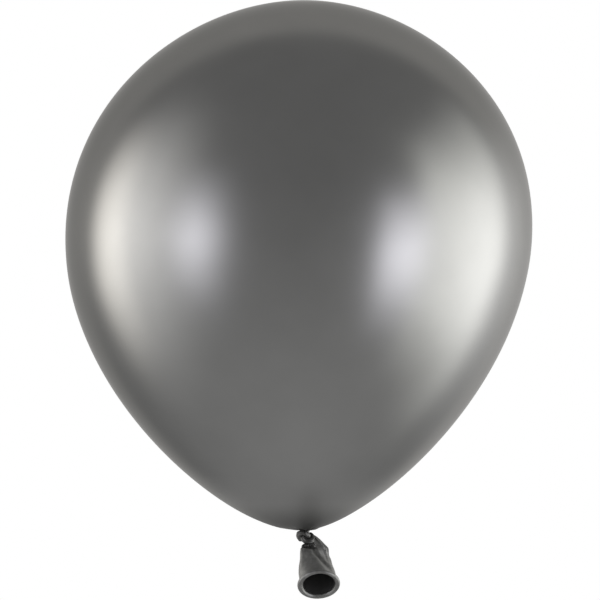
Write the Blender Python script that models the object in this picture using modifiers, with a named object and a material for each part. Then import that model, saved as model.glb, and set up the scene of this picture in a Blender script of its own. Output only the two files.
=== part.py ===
"""A giant round latex balloon, inflated and tied.

The origin is the throat, where the knot closes the envelope. +Z is up and -Y is the front.
Every length is in metres.
"""

import math

import bmesh
import bpy
from mathutils import Vector
from mathutils.geometry import interpolate_bezier

# Envelope: a pear-shaped skin, hung from its crown and drawn in to a small throat.
DIAMETER = 0.900
CROWN_HEIGHT = 1.0215
EQUATOR_HEIGHT = 0.573
CROWN_ROUNDNESS = 0.2105
SHOULDER_ROUNDNESS = 0.277
BELLY_ROUNDNESS = 0.310
BASE_ROUNDNESS = 0.1230
BASE_DROP = 0.0003
THROAT_RADIUS = 0.0070
SKIN = 0.0006
# An inflated balloon is never quite straight: this one leans to -X, most of all under the crown.
BOW = 0.0160
BOW_PEAK = 0.80
BOW_ABOVE_POWER = 1.4
BOW_BELOW_POWER = 0.25
ENVELOPE_SIDES = 48
UPPER_RINGS = 12
LOWER_RINGS = 16

# Knot: an overhand knot in the gathered neck, which is one rope of latex there.
ROPE = 0.0083
ROPE_FILL = 0.88
KNOT_CENTRE = Vector((0.0030, -0.0023, -0.0135))
KNOT_STEPS = 4
THROAT_DEPTH = 0.0025
THROAT_RISE = 0.0030
STUB = 0.0013

# Tail: the open neck below the knot, which bends at a flat crease and hangs forward.
CREASE = Vector((0.0199, -0.0025, -0.0327))
CREASE_THICKNESS = 0.0024
CREASE_HALF_WIDTH = 0.0253
PINCH = 0.0007
TAIL_TILT = math.radians(40)
TAIL_LENGTH = 0.0931
TAIL_WALL = 0.0009
TAIL_SIDES = 32
MOUTH_RADIUS = 0.0366
MOUTH_OFFSET = 0.0084
OFFSET_POWER = 1.15
WIDTH_POWER = 0.55
OPENING_POWER = 0.75
MOUTH_ROLL = math.radians(4)
LIP = 0.0092
GAP = 0.0003


def material(name, colour, metallic, roughness):
    finish = bpy.data.materials.new(name)
    finish.use_nodes = True
    shader = finish.node_tree.nodes["Principled BSDF"]
    shader.inputs["Base Color"].default_value = (*colour, 1)
    shader.inputs["Metallic"].default_value = metallic
    shader.inputs["Roughness"].default_value = roughness
    return finish


def place(name, mesh, finish, collection):
    """Adds a mesh to the balloon as a smooth-shaded object with one material."""
    mesh.materials.append(finish)
    mesh.shade_smooth()
    piece = bpy.data.objects.new(name, mesh)
    collection.objects.link(piece)
    return piece


def evaluated_mesh(piece):
    """The mesh that a piece's curve or modifiers make; the piece itself is removed."""
    graph = bpy.context.evaluated_depsgraph_get()
    mesh = bpy.data.meshes.new_from_object(piece.evaluated_get(graph))
    bpy.data.objects.remove(piece)
    return mesh


def turned_mesh(profile, sides, collection):
    """Turns (radius, height) points about Z. They run from the top down the outer side."""
    outline = bpy.data.meshes.new("outline")
    points = [(radius, 0, height) for radius, height in profile]
    outline.from_pydata(points, [(i, i + 1) for i in range(len(points) - 1)], [])
    piece = bpy.data.objects.new("outline", outline)
    collection.objects.link(piece)
    screw = piece.modifiers.new("turn", "SCREW")
    screw.steps = sides
    screw.render_steps = sides
    screw.use_merge_vertices = True
    screw.merge_threshold = 0.0001
    return evaluated_mesh(piece)


def loft_mesh(name, rings):
    """Skins a run of closed rings of equal count and caps the first and the last."""
    skin = bmesh.new()
    loops = [[skin.verts.new(point) for point in ring] for ring in rings]
    for upper, lower in zip(loops, loops[1:]):
        for i in range(len(upper)):
            j = (i + 1) % len(upper)
            skin.faces.new((upper[i], upper[j], lower[j], lower[i]))
    skin.faces.new(loops[0])
    skin.faces.new(loops[-1])
    bmesh.ops.recalc_face_normals(skin, faces=skin.faces)
    mesh = bpy.data.meshes.new(name)
    skin.to_mesh(mesh)
    skin.free()
    return mesh


def ellipse(centre, across, through, half_width, half_depth, sides=TAIL_SIDES):
    """A ring about centre, half_width along the direction across and half_depth along through."""
    turns = [2 * math.pi * i / sides for i in range(sides)]
    return [
        centre + across * half_width * math.cos(turn) + through * half_depth * math.sin(turn)
        for turn in turns
    ]


def envelope_profile():
    """The outline from crown to throat: two Bezier quarters that meet upright at the equator."""
    radius = DIAMETER / 2
    crown = (0, CROWN_HEIGHT)
    equator = (radius, EQUATOR_HEIGHT)
    throat = (THROAT_RADIUS, -BASE_DROP)
    upper = interpolate_bezier(
        crown,
        (CROWN_ROUNDNESS, CROWN_HEIGHT),
        (radius, EQUATOR_HEIGHT + SHOULDER_ROUNDNESS),
        equator,
        UPPER_RINGS + 1,
    )
    lower = interpolate_bezier(
        equator,
        (radius, EQUATOR_HEIGHT - BELLY_ROUNDNESS),
        (THROAT_RADIUS + BASE_ROUNDNESS, -BASE_DROP),
        throat,
        LOWER_RINGS + 1,
    )
    return [tuple(point) for point in upper + lower[1:]]


def bow(height):
    """How far the envelope leans to -X at a height above the throat. The throat is not shifted."""
    height = min(max(height, 0), CROWN_HEIGHT)
    down = (CROWN_HEIGHT - height) / CROWN_HEIGHT
    if down < BOW_PEAK:
        return BOW * math.sin(math.pi / 2 * down / BOW_PEAK) ** BOW_ABOVE_POWER
    below = math.cos(math.pi / 2 * (down - BOW_PEAK) / (1 - BOW_PEAK))
    return BOW * max(below, 0) ** BOW_BELOW_POWER * min(height / THROAT_RISE, 1)


def build_envelope(finish, collection):
    mesh = turned_mesh(envelope_profile(), ENVELOPE_SIDES, collection)
    for vertex in mesh.vertices:
        vertex.co.x -= bow(vertex.co.z)
    piece = place("envelope", mesh, finish, collection)
    wall = piece.modifiers.new("skin", "SOLIDIFY")
    wall.thickness = SKIN
    wall.offset = -1
    return piece


def build_throat(finish, collection):
    """The plug of gathered neck that fills the throat hole and runs down into the knot."""
    rope = ROPE * ROPE_FILL / 2
    profile = [
        (0, THROAT_RISE),
        (rope, THROAT_RISE),
        (THROAT_RADIUS - GAP, THROAT_RISE / 2),
        (THROAT_RADIUS - GAP, -BASE_DROP - GAP),
        (rope, -THROAT_DEPTH),
        (0, -THROAT_DEPTH),
    ]
    return place("neck_throat", turned_mesh(profile, 24, collection), finish, collection)


def knot_route():
    """The rope's centre line through the knot, from the throat to the tail.

    The half route is in rope diameters from the knot's centre, columns x, y, z. It starts at the
    back of the loop and ends at the throat. The other half is the same turned over about Y.
    """
    half = (
        (0.00, 1.20, 0.00),
        (1.19, 0.67, 0.39),
        (1.47, -0.72, -0.71),
        (0.29, -1.12, -0.98),
        (-0.55, -0.67, -0.22),
        (-0.35, -0.05, 0.60),
        (-0.36, 0.28, 1.25),
    )
    points = [Vector(point) for point in reversed(half)]
    points += [Vector((-x, y, -z)) for x, y, z in half[1:]]
    return [KNOT_CENTRE + point * ROPE for point in points]


def smooth_route(points, steps):
    """A Catmull-Rom curve through the points, with a number of steps between each two."""
    ends = [2 * points[0] - points[1], *points, 2 * points[-1] - points[-2]]
    route = []
    for before, start, end, after in zip(ends, ends[1:], ends[2:], ends[3:]):
        for step in range(steps):
            t = step / steps
            route.append(
                0.5
                * (
                    2 * start
                    + (end - before) * t
                    + (2 * before - 5 * start + 4 * end - after) * t**2
                    + (3 * start - before - 3 * end + after) * t**3
                )
            )
    return route + [points[-1]]


def build_rope(name, route, finish, collection):
    """A round strand of the gathered neck along a route, with closed ends."""
    curve = bpy.data.curves.new(name, "CURVE")
    curve.dimensions = "3D"
    curve.bevel_depth = ROPE * ROPE_FILL / 2
    curve.bevel_resolution = 3
    curve.use_fill_caps = True
    spline = curve.splines.new("POLY")
    spline.points.add(len(route) - 1)
    for point, place_at in zip(spline.points, route):
        point.co = (*place_at, 1)
    strand = bpy.data.objects.new(name + "_route", curve)
    collection.objects.link(strand)
    mesh = evaluated_mesh(strand)
    weld = bmesh.new()
    weld.from_mesh(mesh)
    bmesh.ops.remove_doubles(weld, verts=weld.verts, dist=0.00001)
    bmesh.ops.recalc_face_normals(weld, faces=weld.faces)
    weld.to_mesh(mesh)
    weld.free()
    return place(name, mesh, finish, collection)


def build_knot(finish, collection):
    """The loop, and from its last quarter on the end that is tucked down through it."""
    route = smooth_route(knot_route(), KNOT_STEPS)
    down = Vector((0, 0, -1))
    start = Vector((route[0].x, route[0].y, -THROAT_DEPTH - GAP))
    end = route[-1]
    split = 9 * KNOT_STEPS
    middle = route[split]
    along = (route[split + 1] - route[split - 1]).normalized()
    # Short straight stretches keep each two end faces that meet parallel.
    loop = [start, start + down * STUB, *route[2 : split - 1]]
    loop += [middle - along * STUB, middle - along * GAP / 2]
    tuck = [middle + along * GAP / 2, middle + along * STUB]
    tuck += [*route[split + 2 : -2], end - down * STUB, end]
    build_rope("knot_loop", loop, finish, collection)
    build_rope("knot_tuck", tuck, finish, collection)
    return end


def bent_ring(left, middle, right, y, half_depth):
    """A flattened ring whose middle line bends through three (x, z) points, in millimetres."""
    left, middle, right = [Vector((x, y, z)) / 1000 for x, z in (left, middle, right)]
    ring = []
    for i in range(TAIL_SIDES):
        turn = 2 * math.pi * i / TAIL_SIDES
        share = math.cos(turn)
        spine = middle + (right - left) / 2 * share + ((right + left) / 2 - middle) * share**2
        ring.append(spine + Vector((0, half_depth / 1000 * math.sin(turn), 0)))
    return ring


def build_gather(rope_end, finish, collection):
    """The pleated shoulder: a fan from the knot's end, round its right side, to the flat crease."""
    across = Vector((1, 0, 0))
    through = Vector((0, 1, 0))
    top = rope_end - Vector((0, 0, GAP))
    bottom = CREASE + Vector((0, 0, CREASE_THICKNESS / 2 + GAP))
    rings = [ellipse(top, across, through, 0.0050, 0.0042)]
    # Columns: left (x, z), middle (x, z), right (x, z), y, half depth.
    fan = (
        ((-1.0, -26.9), (11.5, -26.3), (24.3, -17.4), 0.8, 3.0),
        ((-3.0, -28.7), (14.5, -27.6), (31.8, -20.0), 0.0, 2.9),
        ((-4.5, -29.9), (18.0, -29.1), (41.0, -27.0), -1.4, 2.3),
    )
    rings += [bent_ring(*columns) for columns in fan]
    rings.append(ellipse(bottom, across, through, CREASE_HALF_WIDTH, PINCH))
    return place("tail_gather", loft_mesh("tail_gather", rings), finish, collection)


def sleeve_section(share):
    """Centre offset, half width and half depth of the sleeve, from crease (0) to mouth (1)."""
    offset = MOUTH_OFFSET * share**OFFSET_POWER
    wider = MOUTH_RADIUS - LIP / 8 - CREASE_HALF_WIDTH
    half_width = CREASE_HALF_WIDTH + wider * share**WIDTH_POWER
    flat = CREASE_THICKNESS / 2
    half_depth = flat + (half_width - flat) * share**OPENING_POWER
    return offset, half_width, half_depth


def build_sleeve(swing, finish, collection):
    """The open neck, a cup that is pinched flat at the crease, in the swing's own axes."""
    across = Vector((math.cos(MOUTH_ROLL), 0, math.sin(MOUTH_ROLL)))
    through = Vector((0, 1, 0))
    end = TAIL_LENGTH - LIP / 2 - GAP
    shares = [0, 0.06, 0.16, 0.3, 0.46, 0.64, 0.82, 1]
    outer = []
    for share in shares:
        offset, half_width, half_depth = sleeve_section(share)
        centre = Vector((offset, 0, -end * share))
        tilt = Vector((1, 0, 0)).lerp(across, share)
        outer.append(ellipse(centre, tilt, through, half_width, half_depth))
    inner = []
    for share in reversed(shares[2:]):
        offset, half_width, half_depth = sleeve_section(share)
        centre = Vector((offset, 0, -end * share))
        tilt = Vector((1, 0, 0)).lerp(across, share)
        inner.append(
            ellipse(centre, tilt, through, half_width - TAIL_WALL, half_depth - TAIL_WALL)
        )
    piece = place("tail_sleeve", loft_mesh("tail_sleeve", outer + inner), finish, collection)
    piece.parent = swing
    return piece


def build_rim(swing, finish, collection):
    """The rolled lip: a round bead about the mouth."""
    bpy.ops.mesh.primitive_torus_add(
        major_segments=36,
        minor_segments=10,
        major_radius=MOUTH_RADIUS,
        minor_radius=LIP / 2,
    )
    bead = bpy.context.active_object
    mesh = bead.data
    bpy.data.objects.remove(bead)
    piece = place("rolled_rim", mesh, finish, collection)
    piece.parent = swing
    piece.location = (MOUTH_OFFSET, 0, -TAIL_LENGTH)
    piece.rotation_euler = (0, -MOUTH_ROLL, 0)
    return piece


def main():
    for thing in list(bpy.data.objects):
        bpy.data.objects.remove(thing)
    balloon = bpy.data.collections.new("giant_latex_balloon")
    bpy.context.scene.collection.children.link(balloon)

    skin = material("pearl_latex_skin", (0.16, 0.16, 0.16), 0.9, 0.25)
    neck = material("slack_latex_neck", (0.11, 0.11, 0.11), 0.6, 0.45)

    build_envelope(skin, balloon)
    build_throat(neck, balloon)
    rope_end = build_knot(neck, balloon)
    build_gather(rope_end, neck, balloon)

    swing = bpy.data.objects.new("tail_swing", None)
    swing.location = CREASE
    swing.rotation_euler = (-TAIL_TILT, 0, 0)
    balloon.objects.link(swing)
    build_sleeve(swing, neck, balloon)
    build_rim(swing, neck, balloon)


main()
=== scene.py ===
"""The looks of a giant latex balloon, inflated and tied, in a pale studio."""

import math

import bmesh
import bpy
from mathutils import Matrix, Vector, noise


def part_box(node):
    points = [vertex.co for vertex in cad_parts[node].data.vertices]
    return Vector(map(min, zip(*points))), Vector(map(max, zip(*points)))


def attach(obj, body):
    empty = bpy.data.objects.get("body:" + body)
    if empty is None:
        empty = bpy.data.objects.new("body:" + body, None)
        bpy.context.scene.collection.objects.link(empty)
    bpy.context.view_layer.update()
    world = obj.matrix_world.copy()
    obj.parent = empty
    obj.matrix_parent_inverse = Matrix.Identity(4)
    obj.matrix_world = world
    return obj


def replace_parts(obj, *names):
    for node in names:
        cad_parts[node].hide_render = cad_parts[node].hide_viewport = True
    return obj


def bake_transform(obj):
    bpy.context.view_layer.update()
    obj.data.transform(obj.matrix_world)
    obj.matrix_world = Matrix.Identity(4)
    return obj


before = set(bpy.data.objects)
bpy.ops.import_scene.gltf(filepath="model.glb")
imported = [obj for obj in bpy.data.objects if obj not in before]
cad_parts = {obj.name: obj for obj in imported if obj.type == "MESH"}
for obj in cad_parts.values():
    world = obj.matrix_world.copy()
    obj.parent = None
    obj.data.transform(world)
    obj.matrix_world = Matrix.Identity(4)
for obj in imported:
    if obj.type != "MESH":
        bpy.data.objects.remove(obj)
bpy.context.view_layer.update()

# Camera: level with the balloon's middle and far off with a long lens, as a product picture is
# taken. The picture is square, and the balloon's width in it gives the size of one pixel.
PHOTO_SIDE_PX = 600
BALLOON_WIDTH_PX = 466.9
THROAT_AT_PX = (304.0, 530.0)
CAMERA_DISTANCE = 45.0

envelope_low, envelope_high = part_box("envelope")
diameter = envelope_high.x - envelope_low.x
pixel = diameter / BALLOON_WIDTH_PX
camera_data = bpy.data.cameras.new("camera")
camera_data.lens = camera_data.sensor_width * CAMERA_DISTANCE / (PHOTO_SIDE_PX * pixel)
camera_data.clip_end = 4 * CAMERA_DISTANCE
camera = bpy.data.objects.new("camera", camera_data)
camera.location = (
    (PHOTO_SIDE_PX / 2 - THROAT_AT_PX[0]) * pixel,
    -CAMERA_DISTANCE,
    (THROAT_AT_PX[1] - PHOTO_SIDE_PX / 2) * pixel,
)
camera.rotation_euler = (math.radians(90), 0, 0)
bpy.context.scene.collection.objects.link(camera)
bpy.context.scene.camera = camera
bpy.context.scene.view_settings.view_transform = "Standard"


# Envelope: one dipped skin of natural latex with a metallic pearl pigment, blown up until it is
# taut. It is a turned pear shape that leans a little, thick and dark at the crown's nub, and the
# skin is drawn into fine pleats where the neck gathers it.
CROWN_HEIGHT = 1.0215
EQUATOR_HEIGHT = 0.573
CROWN_ROUNDNESS = 0.2105
SHOULDER_ROUNDNESS = 0.277
BELLY_ROUNDNESS = 0.310
BASE_ROUNDNESS = 0.1230
BASE_DROP = 0.0003
THROAT_RADIUS = 0.0070
BOW = 0.0160
# Columns: share of the height, down from the crown; share of the bow.
LEAN = (
    (0, 0),
    (0.20, 0.23),
    (0.45, 0.64),
    (0.62, 0.92),
    (0.80, 1.0),
    (0.93, 0.90),
    (0.985, 0.68),
    (0.998, 0.5),
    (1, 0),
)
ENVELOPE_SIDES = 240
ENVELOPE_RINGS = 200
QUARTER_STEPS = 96
SEAM_GAP = 0.00002
PLEAT_DEPTH = 0.0012
PLEATS_END = 0.060
PLEATS_PER_TURN = 4.4
# Most values of a noise texture lie between these two.
NOISE_LOW = 0.3
NOISE_HIGH = 0.7


def linear(colour):
    """An sRGB hex colour, such as 6e6e6e, as linear red, green, blue and alpha."""
    channels = [int(colour[i : i + 2], 16) / 255 for i in (0, 2, 4)]
    straight = [c / 12.92 if c <= 0.04045 else ((c + 0.055) / 1.055) ** 2.4 for c in channels]
    return (*straight, 1)


def add(tree, kind, *values, out=0, **settings):
    """Adds a node and fills its inputs in order. None leaves an input alone; a socket is linked."""
    made = tree.nodes.new(kind)
    for name, setting in settings.items():
        setattr(made, name, setting)
    for socket, value in zip(made.inputs, values):
        if isinstance(value, bpy.types.NodeSocket):
            tree.links.new(value, socket)
        elif value is not None:
            socket.default_value = value
    return made if out is None else made.outputs[out]


def shape_tree(name, sizes):
    """A Geometry Nodes tree with a named input for each size, and those inputs as sockets."""
    tree = bpy.data.node_groups.new(name, "GeometryNodeTree")
    tree.interface.new_socket("Geometry", in_out="INPUT", socket_type="NodeSocketGeometry")
    tree.interface.new_socket("Geometry", in_out="OUTPUT", socket_type="NodeSocketGeometry")
    kinds = {int: "NodeSocketInt", float: "NodeSocketFloat", tuple: "NodeSocketVector"}
    for label, value in sizes.items():
        tree.interface.new_socket(label, in_out="INPUT", socket_type=kinds[type(value)])
    return tree, tree.nodes.new("NodeGroupInput").outputs


def grown(name, tree, shape, sizes, finish, start=None):
    """Ends a tree with its material and runs it, on a starting mesh or none, to a plain mesh."""
    real = add(tree, "GeometryNodeRealizeInstances", shape)
    coated = add(tree, "GeometryNodeSetMaterial", real, None, finish)
    add(tree, "NodeGroupOutput", coated, out=None)
    seed = bpy.data.objects.new(name + "_seed", start or bpy.data.meshes.new(name + "_seed"))
    bpy.context.scene.collection.objects.link(seed)
    modifier = seed.modifiers.new("grow", "NODES")
    modifier.node_group = tree
    for item in tree.interface.items_tree:
        if item.name in sizes:
            modifier[item.identifier] = sizes[item.name]
    graph = bpy.context.evaluated_depsgraph_get()
    mesh = bpy.data.meshes.new_from_object(seed.evaluated_get(graph))
    bpy.data.objects.remove(seed)
    mesh.name = name
    piece = bpy.data.objects.new(name, mesh)
    bpy.context.scene.collection.objects.link(piece)
    return piece


def closed(piece):
    """Welds a mesh's seams, fills its holes, turns its faces outwards and shades it smooth."""
    mesh = bmesh.new()
    mesh.from_mesh(piece.data)
    bmesh.ops.remove_doubles(mesh, verts=mesh.verts, dist=SEAM_GAP / 2)
    bmesh.ops.holes_fill(mesh, edges=mesh.edges, sides=0)
    bmesh.ops.recalc_face_normals(mesh, faces=mesh.faces)
    mesh.to_mesh(piece.data)
    mesh.free()
    piece.data.shade_smooth()


# Metallic pearl latex, stretched thin: the pigment flakes lie flat in the skin, so that it is
# nearly a soft mirror, with a faint cloud in the pigment and a fine orange peel.
SKIN_GREY = "7c7c7b"
# Towards the neck the skin's grey darkens: partly the thicker, less stretched latex there, partly
# painted shade where the knot and the floor shade the base.
NECK_GREY_THICK_AND_SHADED = "494948"
NECK_DARKENS_BELOW = 0.056
NUB_RADIUS = 0.022
NUB_DARKNESS = 0.8
SKIN_ROUGHNESS = 0.28
NECK_ROUGHNESS = 0.55
NECK_METALLIC = 0.35
NECK_SLACKENS_BELOW = 0.13
SKIN_EDGE_TINT = "c2c2c2"
PIGMENT_CLOUD_MM = 90
PIGMENT_CLOUD_DETAIL = 3.0
PIGMENT_CLOUD_STRENGTH = 0.06
ORANGE_PEEL_MM = 1.6
ORANGE_PEEL_DETAIL = 2.0
ORANGE_PEEL_STRENGTH = 0.04
ORANGE_PEEL_HEIGHT = 0.0002

stretched_latex = bpy.data.materials.new("metallic_pearl_latex_stretched")
stretched_latex.use_nodes = True
tree = stretched_latex.node_tree
shader = tree.nodes["Principled BSDF"]
shader.inputs["Specular Tint"].default_value = linear(SKIN_EDGE_TINT)
place = add(tree, "ShaderNodeTexCoord", out="Object")
height = add(tree, "ShaderNodeSeparateXYZ", place, out="Z")
# Darker towards the neck: partly thicker latex, partly painted shade of the knot and the floor. The
# crown's nub is only thicker.
neck = add(
    tree, "ShaderNodeMapRange", height, NECK_DARKENS_BELOW, 0, 0, 1, interpolation_type="SMOOTHSTEP"
)
crown = (0, 0, envelope_high.z)
from_crown = add(
    tree, "ShaderNodeVectorMath", place, crown, operation="DISTANCE", out="Value"
)
nub = add(
    tree,
    "ShaderNodeMapRange",
    from_crown,
    NUB_RADIUS,
    NUB_RADIUS / 3,
    0,
    NUB_DARKNESS,
    interpolation_type="SMOOTHSTEP",
)
thickness_and_neck_shade = add(tree, "ShaderNodeMath", neck, nub, operation="MAXIMUM")
grey = add(
    tree,
    "ShaderNodeMix",
    thickness_and_neck_shade,
    *[None] * 5,
    linear(SKIN_GREY),
    linear(NECK_GREY_THICK_AND_SHADED),
    data_type="RGBA",
    out=2,
)
cloud = add(
    tree, "ShaderNodeTexNoise", place, None, 1000 / PIGMENT_CLOUD_MM, PIGMENT_CLOUD_DETAIL
)
faint, strong = 1 - PIGMENT_CLOUD_STRENGTH, 1 + PIGMENT_CLOUD_STRENGTH
mottle = add(tree, "ShaderNodeMapRange", cloud, 0, 1, faint, strong)
clouded = add(tree, "ShaderNodeVectorMath", grey, mottle, operation="MULTIPLY")
tree.links.new(clouded, shader.inputs["Base Color"])
slack = add(
    tree,
    "ShaderNodeMapRange",
    height,
    NECK_SLACKENS_BELOW,
    0,
    0,
    1,
    interpolation_type="SMOOTHSTEP",
)
gloss = add(tree, "ShaderNodeMapRange", slack, 0, 1, SKIN_ROUGHNESS, NECK_ROUGHNESS)
tree.links.new(gloss, shader.inputs["Roughness"])
mirror = add(tree, "ShaderNodeMapRange", slack, 0, 1, 1, NECK_METALLIC)
tree.links.new(mirror, shader.inputs["Metallic"])
peel = add(tree, "ShaderNodeTexNoise", place, None, 1000 / ORANGE_PEEL_MM, ORANGE_PEEL_DETAIL)
bumped = add(tree, "ShaderNodeBump", ORANGE_PEEL_STRENGTH, ORANGE_PEEL_HEIGHT, None, peel)
tree.links.new(bumped, shader.inputs["Normal"])

envelope_sizes = {
    "crown": (0.0, 0.0, CROWN_HEIGHT),
    "crown handle": (CROWN_ROUNDNESS, 0.0, CROWN_HEIGHT),
    "shoulder handle": (diameter / 2, 0.0, EQUATOR_HEIGHT + SHOULDER_ROUNDNESS),
    "equator": (diameter / 2, 0.0, EQUATOR_HEIGHT),
    "belly handle": (diameter / 2, 0.0, EQUATOR_HEIGHT - BELLY_ROUNDNESS),
    "base handle": (THROAT_RADIUS + BASE_ROUNDNESS, 0.0, -BASE_DROP),
    "throat": (THROAT_RADIUS, 0.0, -BASE_DROP),
    "bow": BOW,
    "pleat depth": PLEAT_DEPTH,
    "pleats end": PLEATS_END,
    "pleats per turn": PLEATS_PER_TURN,
    "sides": ENVELOPE_SIDES,
    "rings": ENVELOPE_RINGS,
}
tree, size = shape_tree("turned_balloon", envelope_sizes)
quarters = []
for names in (
    ("crown", "crown handle", "shoulder handle", "equator"),
    ("equator", "belly handle", "base handle", "throat"),
):
    ends = [size[name] for name in names]
    quarter = add(tree, "GeometryNodeCurvePrimitiveBezierSegment", QUARTER_STEPS, *ends)
    quarters.append(quarter)
sheet = add(tree, "GeometryNodeMeshGrid", 1, 1, size["sides"], size["rings"])
position = add(tree, "GeometryNodeInputPosition")
turn = add(
    tree,
    "ShaderNodeMapRange",
    add(tree, "ShaderNodeSeparateXYZ", position, out="X"),
    -0.5,
    0.5,
    0,
    2 * math.pi,
)
quarters_down = add(
    tree,
    "ShaderNodeMapRange",
    add(tree, "ShaderNodeSeparateXYZ", position, out="Y"),
    0.5,
    -0.5,
    0,
    2,
)
past_equator = add(tree, "ShaderNodeMath", quarters_down, 1, operation="SUBTRACT", use_clamp=True)
on_quarters = [
    add(tree, "GeometryNodeSampleCurve", quarter, None, share, mode="FACTOR", out="Position")
    for quarter, share in zip(quarters, (quarters_down, past_equator))
]
outline = add(
    tree,
    "GeometryNodeSwitch",
    add(tree, "FunctionNodeCompare", quarters_down, 1, operation="GREATER_THAN"),
    *on_quarters,
    input_type="VECTOR",
)
turned = add(
    tree, "ShaderNodeVectorRotate", outline, None, None, turn, rotation_type="Z_AXIS"
)
lathed = add(tree, "GeometryNodeSetPosition", sheet, None, turned)
seamless = add(tree, "GeometryNodeMergeByDistance", lathed, None, None, SEAM_GAP)
flat = add(tree, "ShaderNodeVectorMath", position, (1, 1, 0), operation="MULTIPLY")
radius = add(tree, "ShaderNodeVectorMath", flat, operation="LENGTH", out="Value")
around = add(tree, "ShaderNodeVectorMath", flat, operation="NORMALIZE")
ridges = add(tree, "ShaderNodeTexNoise", around, None, size["pleats per turn"], 1.0)
ridge = add(tree, "ShaderNodeMapRange", ridges, NOISE_LOW, NOISE_HIGH, -1, 1)
faded = add(
    tree,
    "ShaderNodeMapRange",
    radius,
    size["pleats end"],
    THROAT_RADIUS,
    0,
    size["pleat depth"],
    interpolation_type="SMOOTHERSTEP",
)
height = add(tree, "ShaderNodeSeparateXYZ", position, out="Z")
at_base = add(tree, "FunctionNodeCompare", height, EQUATOR_HEIGHT / 2, operation="LESS_THAN")
depth = add(tree, "ShaderNodeMath", ridge, faded, operation="MULTIPLY")
depth = add(tree, "ShaderNodeMath", depth, at_base, operation="MULTIPLY")
outward = add(tree, "GeometryNodeInputNormal")
pleat = add(tree, "ShaderNodeVectorMath", outward, None, None, depth, operation="SCALE")
pleated = add(tree, "GeometryNodeSetPosition", seamless, None, None, pleat)
down = add(tree, "ShaderNodeMapRange", height, CROWN_HEIGHT, 0, 0, 1)
leaning = add(tree, "ShaderNodeFloatCurve", 1, down)
line = leaning.node.mapping.curves[0]
line.points[-1].location = LEAN[-1]
for point in LEAN[1:-1]:
    line.points.new(*point)
leaning.node.mapping.update()
lean = add(tree, "ShaderNodeMath", leaning, size["bow"], operation="MULTIPLY")
lean = add(tree, "ShaderNodeMath", lean, -1, operation="MULTIPLY")
shift = add(tree, "ShaderNodeCombineXYZ", lean)
bowed = add(tree, "GeometryNodeSetPosition", pleated, None, None, shift)
envelope = grown("envelope_skin", tree, bowed, envelope_sizes, stretched_latex)
closed(envelope)
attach(envelope, "root")
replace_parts(envelope, "envelope")


# Throat: the short gathered neck that shuts the envelope. It is the same skin, no longer stretched,
# so that it is thick and satin, with the pleats that the knot squeezes in. Its dark grey is partly
# the slack latex and partly painted shade in the crevice between the envelope and the knot.
THROAT_TOP = 0.0030
NECK_BOTTOM = -0.0085
NECK_RADIUS = 0.0062
NECK_SIDEWAYS = 0.0035
NECK_FLARE = 0.0068
NECK_RINGS = 24
NECK_SIDES = 120
# Pleats round the neck, columns: how many, height, turn from the top to the bottom in radians.
NECK_PLEATS = ((9, 0.0006, 2), (5, 0.0003, 0))

# Pearl latex, slack: unstretched, the pigment lies in a thick skin with a matt, faintly dusty
# surface, so that it is a satin grey with fine grain and no clear reflection. Where it is gathered
# tight it is given a darker grey, painted shade for the pleats that close on each other, and where
# it is rolled it is duller.
DUST_MM = 9
DUST_DETAIL = 4.0
DUST_BEGINS = 0.42
DUST_COVERS = 0.68
DUST_FREE_GLOSS = 0.04
DUST_DULLNESS = 0.1
GRAIN_MM = 0.9
GRAIN_DETAIL = 3.0
GRAIN_STRENGTH = 0.25
GRAIN_HEIGHT = 0.0002
# Spots of painted light and shade, columns: place, radius, colour, strength. Under the knot the
# colour is darkened, painted shade where the knot and the recess shade the squeezed pleats. Right
# of it, where the skin bends forward over the crease, it is paler, a painted highlight where the
# right lamp falls.
PAINTED_SHADE_AND_LIGHT = (
    ((0.0060, -0.0040, -0.0310), 0.024, "2f2f2e", 0.85),
    ((0.0375, -0.0120, -0.0415), 0.019, "a0a09f", 0.80),
)


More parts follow.
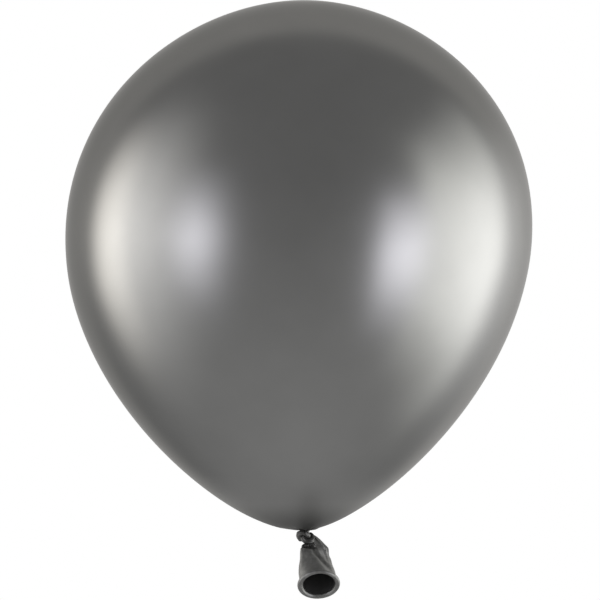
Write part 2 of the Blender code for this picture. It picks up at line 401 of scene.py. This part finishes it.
def slack_pearl(name, grey, dust_grey, metallic, roughness):
    """Unstretched pearl latex of one grey, with a cloud of dust in another, and spots of painted
    shade and a painted highlight laid over it.
    """
    finish = bpy.data.materials.new(name)
    finish.use_nodes = True
    tree = finish.node_tree
    shader = tree.nodes["Principled BSDF"]
    shader.inputs["Metallic"].default_value = metallic
    shader.inputs["Specular Tint"].default_value = linear(SKIN_EDGE_TINT)
    place = add(tree, "ShaderNodeTexCoord", out="Object")
    cloud = add(tree, "ShaderNodeTexNoise", place, None, 1000 / DUST_MM, DUST_DETAIL)
    dusty = add(tree, "ShaderNodeMapRange", cloud, DUST_BEGINS, DUST_COVERS, 0, 1)
    greys = (linear(grey), linear(dust_grey))
    mixed = add(tree, "ShaderNodeMix", dusty, *[None] * 5, *greys, data_type="RGBA", out=2)
    # The spots lay painted shade under the knot and a painted highlight right of it over the grey.
    for spot, radius, painted_grey, strength in PAINTED_SHADE_AND_LIGHT:
        away = add(tree, "ShaderNodeVectorMath", place, spot, operation="DISTANCE", out="Value")
        fade = (radius, radius / 4, 0, strength)
        near = add(tree, "ShaderNodeMapRange", away, *fade, interpolation_type="SMOOTHSTEP")
        greys = (mixed, linear(painted_grey))
        mixed = add(tree, "ShaderNodeMix", near, *[None] * 5, *greys, data_type="RGBA", out=2)
    tree.links.new(mixed, shader.inputs["Base Color"])
    low, high = roughness - DUST_FREE_GLOSS, roughness + DUST_DULLNESS
    gloss = add(tree, "ShaderNodeMapRange", cloud, NOISE_LOW, NOISE_HIGH, low, high)
    tree.links.new(gloss, shader.inputs["Roughness"])
    grain = add(tree, "ShaderNodeTexNoise", place, None, 1000 / GRAIN_MM, GRAIN_DETAIL)
    bumped = add(tree, "ShaderNodeBump", GRAIN_STRENGTH, GRAIN_HEIGHT, None, grain)
    tree.links.new(bumped, shader.inputs["Normal"])
    return finish


# The throat and the knot take a darker grey: partly the thick slack latex, partly painted shade in
# the pleats and under the envelope.
gathered_latex_painted_shade = slack_pearl("metallic_pearl_latex_gathered_painted_shade", "4d4d4c", "5e5e5d", 0.5, 0.34)


def skinned(name, rings, finish):
    """A closed mesh over a run of rings of points, with both ends capped."""
    mesh = bmesh.new()
    loops = [[mesh.verts.new(point) for point in ring] for ring in rings]
    for upper, lower in zip(loops, loops[1:]):
        for i in range(len(upper)):
            j = (i + 1) % len(upper)
            mesh.faces.new((upper[i], upper[j], lower[j], lower[i]))
    mesh.faces.new(loops[0])
    mesh.faces.new(loops[-1])
    bmesh.ops.recalc_face_normals(mesh, faces=mesh.faces)
    data = bpy.data.meshes.new(name)
    mesh.to_mesh(data)
    mesh.free()
    data.materials.append(finish)
    data.shade_smooth()
    piece = bpy.data.objects.new(name, data)
    bpy.context.scene.collection.objects.link(piece)
    return piece


rings = []
for step in range(NECK_RINGS + 1):
    share = step / NECK_RINGS
    middle = Vector((NECK_SIDEWAYS * share, 0, THROAT_TOP + (NECK_BOTTOM - THROAT_TOP) * share))
    flare = NECK_FLARE * (1 - share) ** 2
    ring = []
    for side in range(NECK_SIDES):
        turn = 2 * math.pi * side / NECK_SIDES
        fold = sum(high * math.cos(count * turn + by * share) for count, high, by in NECK_PLEATS)
        distance = NECK_RADIUS + flare + fold
        ring.append(middle + Vector((math.cos(turn), math.sin(turn), 0)) * distance)
    rings.append(ring)
throat = skinned("throat_folds", rings, gathered_latex_painted_shade)
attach(throat, "root")
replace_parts(throat, "neck_throat")


# Knot: the neck stretched out, gathered to a rope, laid round once and tucked through, then let
# go. The rope is a bundle of pleats that bed into each other, and it necks where it is squeezed.
ROPE = 0.0083
KNOT_CENTRE = Vector((0.0030, -0.0023, -0.0135))
KNOT_STEPS = 4
STRAND_RADIUS = 0.0053
STRAND_LOBES = 3
STRAND_LOBES_FROM = 0.8
# The half route is in rope diameters from the knot's centre, columns x, y, z, from the back of
# the loop to the throat. The other half is the same turned over about Y.
HALF_ROUTE = (
    (0.00, 1.20, 0.00),
    (1.19, 0.67, 0.39),
    (1.47, -0.72, -0.71),
    (0.29, -1.12, -0.98),
    (-0.55, -0.67, -0.22),
    (-0.35, -0.05, 0.60),
    (-0.36, 0.28, 1.25),
)
# The wrap takes this many stretches of the route from the throat, and the tucked end the rest.
WRAP_STRETCHES = 9


def smooth_route(points, steps):
    """A Catmull-Rom curve through the points, with a number of steps between each two."""
    ends = [2 * points[0] - points[1], *points, 2 * points[-1] - points[-2]]
    route = []
    for before, start, end, after in zip(ends, ends[1:], ends[2:], ends[3:]):
        for step in range(steps):
            t = step / steps
            straight = 2 * start + (end - before) * t
            bend = (2 * before - 5 * start + 4 * end - after) * t**2
            swing = (3 * start - before - 3 * end + after) * t**3
            route.append(0.5 * (straight + bend + swing))
    return route + [points[-1]]


strand_sizes = {
    "radius": STRAND_RADIUS,
    "step": 0.0005,
    "sides": 72,
    "pleat depth": 0.05,
    "pleats": 7.0,
    "twist": 2.5,
}


def strand(name, route):
    """A gathered neck along a route: a tube whose outline is pleated and turns along the way."""
    guide = bpy.data.meshes.new(name + "_route")
    guide.from_pydata(route, [(i, i + 1) for i in range(len(route) - 1)], [])
    tree, size = shape_tree("gathered_neck", strand_sizes)
    path = add(tree, "GeometryNodeMeshToCurve", size["Geometry"])
    path = add(tree, "GeometryNodeCurveSplineType", path, spline_type="CATMULL_ROM")
    path = add(tree, "GeometryNodeResampleCurve", path, None, None, size["step"], mode="LENGTH")
    along = add(tree, "GeometryNodeSplineParameter")
    tilt = add(tree, "ShaderNodeMath", along, size["twist"], operation="MULTIPLY")
    path = add(tree, "GeometryNodeSetCurveTilt", path, None, tilt)
    radius = size["radius"]
    ring = add(tree, "GeometryNodeCurvePrimitiveCircle", size["sides"], *[None] * 3, radius)
    turn = add(tree, "ShaderNodeMath", along, 2 * math.pi, operation="MULTIPLY")
    phase = add(tree, "ShaderNodeMath", turn, size["pleats"], operation="MULTIPLY")
    wave = add(tree, "ShaderNodeMath", phase, operation="COSINE")
    lobe = (turn, STRAND_LOBES, STRAND_LOBES_FROM)
    lobe = add(tree, "ShaderNodeMath", *lobe, operation="MULTIPLY_ADD")
    lobe = add(tree, "ShaderNodeMath", lobe, operation="COSINE")
    wave = add(tree, "ShaderNodeMath", wave, lobe, operation="ADD")
    depth = add(tree, "ShaderNodeMath", wave, size["pleat depth"], 1, operation="MULTIPLY_ADD")
    position = add(tree, "GeometryNodeInputPosition")
    pleated = add(tree, "ShaderNodeVectorMath", position, None, None, depth, operation="SCALE")
    ring = add(tree, "GeometryNodeSetPosition", ring, None, pleated)
    tube = add(tree, "GeometryNodeCurveToMesh", path, ring, None, True)
    piece = grown(name, tree, tube, strand_sizes, gathered_latex_painted_shade, guide)
    closed(piece)
    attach(piece, "root")
    return piece


knot_points = [Vector(point) for point in reversed(HALF_ROUTE)]
knot_points += [Vector((-x, y, -z)) for x, y, z in HALF_ROUTE[1:]]
knot_route = smooth_route([KNOT_CENTRE + point * ROPE for point in knot_points], KNOT_STEPS)
split = WRAP_STRETCHES * KNOT_STEPS
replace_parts(strand("knot_wrap", knot_route[: split + 1]), "knot_loop")
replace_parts(strand("knot_end", knot_route[split:]), "knot_tuck")


# Tail: the open neck below the knot. It leaves the knot as a pleated fan, bends forward at a flat
# crease and opens to a soft tube, dented where fingers pulled it, with a wall that shows inside.
CREASE = Vector((0.0199, -0.0025, -0.0327))
TAIL_TILT = math.radians(40)
TAIL_LENGTH = 0.0928
TAIL_WALL = 0.0009
CREASE_THICKNESS = 0.0024
CREASE_HALF_WIDTH = 0.0253
MOUTH_RADIUS = 0.0366
MOUTH_OFFSET = 0.0084
OFFSET_POWER = 1.15
WIDTH_POWER = 0.55
OPENING_POWER = 0.75
MOUTH_ROLL = math.radians(4)
LIP = 0.0092
INTO_LIP = LIP / 5
UNDER_LIP = LIP / 16
TAIL_SIDES = 144
TAIL_STEPS = 6
# Shares of the tail's length, down from the crease: its key sections, and where the inside begins.
TAIL_KEYS = (0.14, 0.24, 0.36, 0.5, 0.64, 0.78, 0.9, 1.0)
INNER_FROM = 0.2
# At the crease the flattened section is twisted, and its front right is a flat facet. Both fade
# towards the mouth.
TWIST = math.radians(28)
TWIST_FADE = 1.5
FACET = 0.7
# Pleats across the tail, columns: half waves to each side, phase in half turns, strength.
PLEATS_ACROSS = ((3.3, 0.25, 1.0), (7.3, -0.4, 0.5))
CREASE_PLEATS = 0.0012
CREASE_PLEATS_FADE = 3
# Dents, where fingers pulled the tail: their height, their bulge as a whole, and their noise.
DENT_HEIGHT = 0.0022
DENT_FULLNESS = 0.35
DENTS_AROUND = 1.1
DENTS_ALONG = 3.2
DENTS_FROM = Vector((4.1, 0.3, 2.2))
# Fold, a slanting furrow in front. Its place at the crease, slant and width are in half widths.
FOLD_FROM = -0.42
FOLD_SLANT = 1.3
FOLD_WIDTH = 0.22
FOLD_DEPTH = 0.0065
# Where the tail is flat, the inside keeps at least this share of the outside's half depth.
THINNEST_INSIDE = 0.2

slack_latex = slack_pearl("metallic_pearl_latex_slack", "71716f", "80807e", 0.4, 0.40)
tail_turn = Matrix.Rotation(-TAIL_TILT, 3, "X")
# Fan, columns in millimetres: left edge x, y, z; right edge x, y, z; half thickness; pleats.
FAN = (
    (4.0, 1.0, -24.5, 12.0, 1.5, -13.0, 2.2, 0.3),
    (0.5, 1.5, -26.6, 18.0, 1.5, -9.4, 2.4, 1.0),
    (-2.5, 2.5, -28.0, 25.0, 1.5, -13.0, 2.4, 1.5),
    (-4.3, 5.5, -29.8, 33.0, 2.0, -20.0, 2.2, 1.5),
    (-5.0, 5.5, -33.0, 40.6, 2.0, -28.0, 2.0, 1.3),
    (-5.4, -2.5, -36.6, 47.2, 0.5, -35.6, 2.8, 1.0),
)


def stations():
    """Centre, half-width vector, half-depth vector, pleat height and share of each key section."""
    made = []
    for row in FAN:
        left, right = Vector(row[0:3]) / 1000, Vector(row[3:6]) / 1000
        half, pleats = row[6] / 1000, row[7] / 1000
        tilt = len(made) / len(FAN) * TAIL_TILT / 2
        through = Vector((0, math.cos(tilt), -math.sin(tilt))) * half
        made.append(((left + right) / 2, (right - left) / 2, through, pleats, 0))
    end = TAIL_LENGTH - INTO_LIP
    wider = MOUTH_RADIUS - UNDER_LIP - CREASE_HALF_WIDTH
    flat = CREASE_THICKNESS / 2
    for share in TAIL_KEYS:
        half_width = CREASE_HALF_WIDTH + wider * share**WIDTH_POWER
        half_depth = flat + (half_width - flat) * share**OPENING_POWER
        roll = MOUTH_ROLL * share
        centre = CREASE + tail_turn @ Vector((MOUTH_OFFSET * share**OFFSET_POWER, 0, -end * share))
        twist = TWIST * (1 - share) ** TWIST_FADE
        across = tail_turn @ Vector((math.cos(roll), math.sin(twist), math.sin(roll)))
        across *= half_width / across.length
        through = tail_turn @ Vector((-math.sin(twist), math.cos(twist), 0)) * half_depth
        pleats = CREASE_PLEATS * (1 - share) ** CREASE_PLEATS_FADE
        made.append((centre, across, through, pleats, share))
    return made


def between(keys, steps):
    """The sections between the key ones, each of their columns on its own Catmull-Rom curve."""
    columns = []
    for column in zip(*keys):
        points = [point if isinstance(point, Vector) else Vector((point, 0, 0)) for point in column]
        columns.append(smooth_route(points, steps))
    return list(zip(*columns))


def tail_ring(section, inset):
    """One ring of the tail: a flattened round with pleats and dents, inset by a wall or by none."""
    centre, across, through, pleats, share = section
    pleats, share = pleats.x, share.x
    ring = []
    for side in range(TAIL_SIDES):
        turn = 2 * math.pi * side / TAIL_SIDES
        u, w = math.cos(turn), math.sin(turn)
        if w < 0 and share > 0:
            w *= 1 - FACET * max(u, 0) * (1 - share)
        point = centre + across * u * (1 - inset / across.length)
        point += through * w * max(1 - inset / through.length, THINNEST_INSIDE)
        folds = sum(
            strength * math.cos(math.pi * (waves * u + phase))
            for waves, phase, strength in PLEATS_ACROSS
        )
        point += through.normalized() * folds * pleats
        if share > 0:
            spot = Vector((DENTS_AROUND * u, DENTS_AROUND * w, DENTS_ALONG * share))
            dent = DENT_FULLNESS + noise.noise(spot + DENTS_FROM)
            reach = DENT_HEIGHT * math.sin(math.pi * min(share, 1))
            outward = across.normalized() * u + through.normalized() * w
            point += outward.normalized() * dent * reach
            line = (u - FOLD_FROM - FOLD_SLANT * share) / FOLD_WIDTH
            sunk = FOLD_DEPTH * math.exp(-(line**2)) * max(-w, 0) * math.sin(math.pi * share)
            point += through.normalized() * sunk
        ring.append(point)
    return ring


sections = between(stations(), TAIL_STEPS)
outer = [tail_ring(section, 0) for section in sections]
open_part = [section for section in sections if section[4].x > INNER_FROM]
inner = [tail_ring(section, TAIL_WALL) for section in reversed(open_part)]
tail = skinned("tail_skin", outer + inner, slack_latex)
# Latex, the inner face: a dark grey, painted shade for the inside of the open tail, and a trace of
# powder keeps it matt.
INSIDE_SHADE_GREY = "2b2b2b"
INSIDE_ROUGHNESS = 0.6
BARE_SHADE = 0.8
POWDERED_SHADE = 1.3
inner_latex_painted_shade = bpy.data.materials.new("latex_inner_face_painted_shade")
inner_latex_painted_shade.use_nodes = True
tree = inner_latex_painted_shade.node_tree
shader = tree.nodes["Principled BSDF"]
shader.inputs["Roughness"].default_value = INSIDE_ROUGHNESS
place = add(tree, "ShaderNodeTexCoord", out="Object")
powder = add(tree, "ShaderNodeTexNoise", place, None, 1000 / DUST_MM, DUST_DETAIL)
shades = (NOISE_LOW, NOISE_HIGH, BARE_SHADE, POWDERED_SHADE)
shade = add(tree, "ShaderNodeMapRange", powder, *shades)
tinted = add(tree, "ShaderNodeVectorMath", linear(INSIDE_SHADE_GREY)[:3], shade, operation="MULTIPLY")
tree.links.new(tinted, shader.inputs["Base Color"])
tail.data.materials.append(inner_latex_painted_shade)
for face in tail.data.polygons[len(outer) * TAIL_SIDES :]:
    face.material_index = 1
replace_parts(tail, "tail_gather", "tail_sleeve")
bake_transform(tail)


# Lip: the edge of the neck, rolled up on itself to a soft bead while the latex was still wet.
# It is fattest at the sides and thinnest in front, and a line shows where the roll ends.
LIP_SIDES = 192
LIP_ROUND = 48
# Fatness of the roll: the mean of front and back, what goes from the front to the back and from
# the right to the left, and what both sides have more.
LIP_FATNESS = 0.92
LIP_FATTER_BEHIND = 0.15
LIP_FATTER_LEFT = 0.05
LIP_FATTER_SIDES = 0.26
LIP_WOBBLE = 0.06
WOBBLES_AROUND = 1.6
WOBBLES_FROM = Vector((0.5, 0.2, 7.0))
ROLL_END_DEPTH = 0.05
ROLL_END_AT = 3.9
ROLL_END_WIDTH = 0.22

mouth = CREASE + tail_turn @ Vector((MOUTH_OFFSET, 0, -TAIL_LENGTH))
mouth_turn = tail_turn @ Matrix.Rotation(-MOUTH_ROLL, 3, "Y")
mesh = bmesh.new()
loops = []
for side in range(LIP_SIDES):
    turn = 2 * math.pi * side / LIP_SIDES
    out = Vector((math.cos(turn), math.sin(turn), 0))
    wobble = noise.noise(out * WOBBLES_AROUND + WOBBLES_FROM)
    fat = LIP_FATNESS + LIP_FATTER_BEHIND * out.y
    fat += LIP_FATTER_SIDES * out.x**2 - LIP_FATTER_LEFT * out.x
    thickness = LIP / 2 * (fat + LIP_WOBBLE * wobble)
    bead = MOUTH_RADIUS + LIP / 2 - thickness
    loop = []
    for part in range(LIP_ROUND):
        bend = 2 * math.pi * part / LIP_ROUND
        roll_end = ROLL_END_DEPTH * math.exp(-(((bend - ROLL_END_AT) / ROLL_END_WIDTH) ** 2))
        reach = thickness * (1 - roll_end)
        spot = out * (bead + reach * math.cos(bend)) + Vector((0, 0, reach * math.sin(bend)))
        loop.append(mesh.verts.new(mouth + mouth_turn @ spot))
    loops.append(loop)
for side in range(LIP_SIDES):
    one, other = loops[side], loops[(side + 1) % LIP_SIDES]
    for part in range(LIP_ROUND):
        after = (part + 1) % LIP_ROUND
        mesh.faces.new((one[part], other[part], other[after], one[after]))
bmesh.ops.recalc_face_normals(mesh, faces=mesh.faces)
lip_mesh = bpy.data.meshes.new("rolled_lip")
mesh.to_mesh(lip_mesh)
mesh.free()
rolled_latex = slack_pearl("metallic_pearl_latex_rolled", "686867", "787877", 0.55, 0.33)
lip_mesh.materials.append(rolled_latex)
lip_mesh.shade_smooth()
lip = bpy.data.objects.new("rolled_lip", lip_mesh)
bpy.context.scene.collection.objects.link(lip)
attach(lip, "tail")
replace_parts(lip, "rolled_rim")


# Studio: a pale floor, feathered soft boxes at both sides and a bright backdrop behind. All but
# the floor is far off, so the world shader holds it, and the camera sees plain white there.
FLOOR_DROP = 0.25
FLOOR_RADIUS = 2.4
FLOOR_SIDES = 96
FLOOR_GREY = "ebebe9"
FLOOR_ROUGHNESS = 0.8
BACKDROP_AXIS_DEG = 14
BACKDROP_HALF_ANGLE_DEG = 47.2
BACKDROP_FEATHER = 0.02
BACKDROP_RADIANCE = 0.468
BACKDROP_TINT = "fffbf4"
BACKDROP_RIGHT_GAIN = 0.20
# The room's own light runs from one radiance below to another above, between two elevations.
UP_RADIANCE = 0.435
UP_FROM_DEG = 35
DOWN_RADIANCE = 0.873
DOWN_FROM_DEG = -115
# Columns: azimuth to the right of the camera, elevation, half width, half height, feather across,
# feather up, radiance, colour. Angles are in degrees.
soft_boxes = (
    (-51.9, -1.6, 8.0, 2.0, 14.3, 34.8, 9.78, "f7f6ff"),
    (-108.9, 0.1, 11.8, 21.0, 6.6, 19.2, 3.28, "fffaf2"),
    (-87.0, 2.5, 19.6, 24.9, 21.3, 32.7, 2.72, "fffefd"),
    (53.8, -10.2, 12.1, 16.4, 5.1, 18.5, 4.15, "f7f6ff"),
    (111.8, -8.0, 7.3, 18.6, 60.0, 14.8, 4.51, "fffefe"),
    (94.7, -4.6, 28.6, 34.1, 6.7, 15.9, 2.0, "fefffa"),
)

world = bpy.data.worlds.new("studio")
bpy.context.scene.world = world
world.use_nodes = True
tree = world.node_tree
direction = add(tree, "ShaderNodeTexCoord", out="Generated")
x, y, z = [add(tree, "ShaderNodeSeparateXYZ", direction, out=axis) for axis in "XYZ"]
backwards = add(tree, "ShaderNodeMath", y, -1, operation="MULTIPLY")
radians = add(tree, "ShaderNodeMath", x, backwards, operation="ARCTAN2")
azimuth = add(tree, "ShaderNodeMath", radians, operation="DEGREES")
radians = add(tree, "ShaderNodeMath", z, operation="ARCSINE")
elevation = add(tree, "ShaderNodeMath", radians, operation="DEGREES")
light = add(
    tree,
    "ShaderNodeMapRange",
    elevation,
    DOWN_FROM_DEG,
    UP_FROM_DEG,
    DOWN_RADIANCE,
    UP_RADIANCE,
    interpolation_type="SMOOTHSTEP",
)
axis = math.radians(BACKDROP_AXIS_DEG)
towards = add(
    tree,
    "ShaderNodeVectorMath",
    direction,
    (0, math.cos(axis), math.sin(axis)),
    operation="DOT_PRODUCT",
    out="Value",
)
edge = math.cos(math.radians(BACKDROP_HALF_ANGLE_DEG))
on_backdrop = add(
    tree,
    "ShaderNodeMapRange",
    towards,
    edge - BACKDROP_FEATHER,
    edge + BACKDROP_FEATHER,
    0,
    BACKDROP_RADIANCE,
    interpolation_type="SMOOTHSTEP",
)
gain = add(tree, "ShaderNodeMath", x, BACKDROP_RIGHT_GAIN, 1, operation="MULTIPLY_ADD")
backdrop = add(tree, "ShaderNodeMath", on_backdrop, gain, operation="MULTIPLY")
tint = linear(BACKDROP_TINT)[:3]
light = add(tree, "ShaderNodeVectorMath", backdrop, tint, light, operation="MULTIPLY_ADD")


def within(angle, centre, half, feather):
    """A mask that is 1 where an angle is near a centre and fades over a feathered edge."""
    off = add(tree, "ShaderNodeMath", angle, centre, operation="SUBTRACT")
    off = add(tree, "ShaderNodeMath", off, operation="ABSOLUTE")
    near, far = half - feather, half + feather
    return add(tree, "ShaderNodeMapRange", off, far, near, 0, 1, interpolation_type="SMOOTHSTEP")


for azimuth_at, elevation_at, wide, high, feather_across, feather_up, radiance, hue in soft_boxes:
    across = within(azimuth, azimuth_at, wide, feather_across)
    up = within(elevation, elevation_at, high, feather_up)
    mask = add(tree, "ShaderNodeMath", across, up, operation="MULTIPLY")
    lamp = [channel * radiance for channel in linear(hue)[:3]]
    light = add(tree, "ShaderNodeVectorMath", mask, lamp, light, operation="MULTIPLY_ADD")
seen = add(tree, "ShaderNodeLightPath", out="Is Camera Ray")
shown = add(
    tree, "ShaderNodeMix", seen, *[None] * 5, light, (1, 1, 1, 1), data_type="RGBA", out=2
)
tree.links.new(shown, tree.nodes["Background"].inputs["Color"])

bpy.ops.mesh.primitive_circle_add(vertices=FLOOR_SIDES, radius=FLOOR_RADIUS, fill_type="NGON")
floor = bpy.context.active_object
floor.name = "floor"
floor.location.z = -FLOOR_DROP
floor.visible_glossy = False
paint = bpy.data.materials.new("matt_white_floor_paint")
paint.use_nodes = True
shader = paint.node_tree.nodes["Principled BSDF"]
shader.inputs["Base Color"].default_value = linear(FLOOR_GREY)
shader.inputs["Roughness"].default_value = FLOOR_ROUGHNESS
floor.data.materials.append(paint)
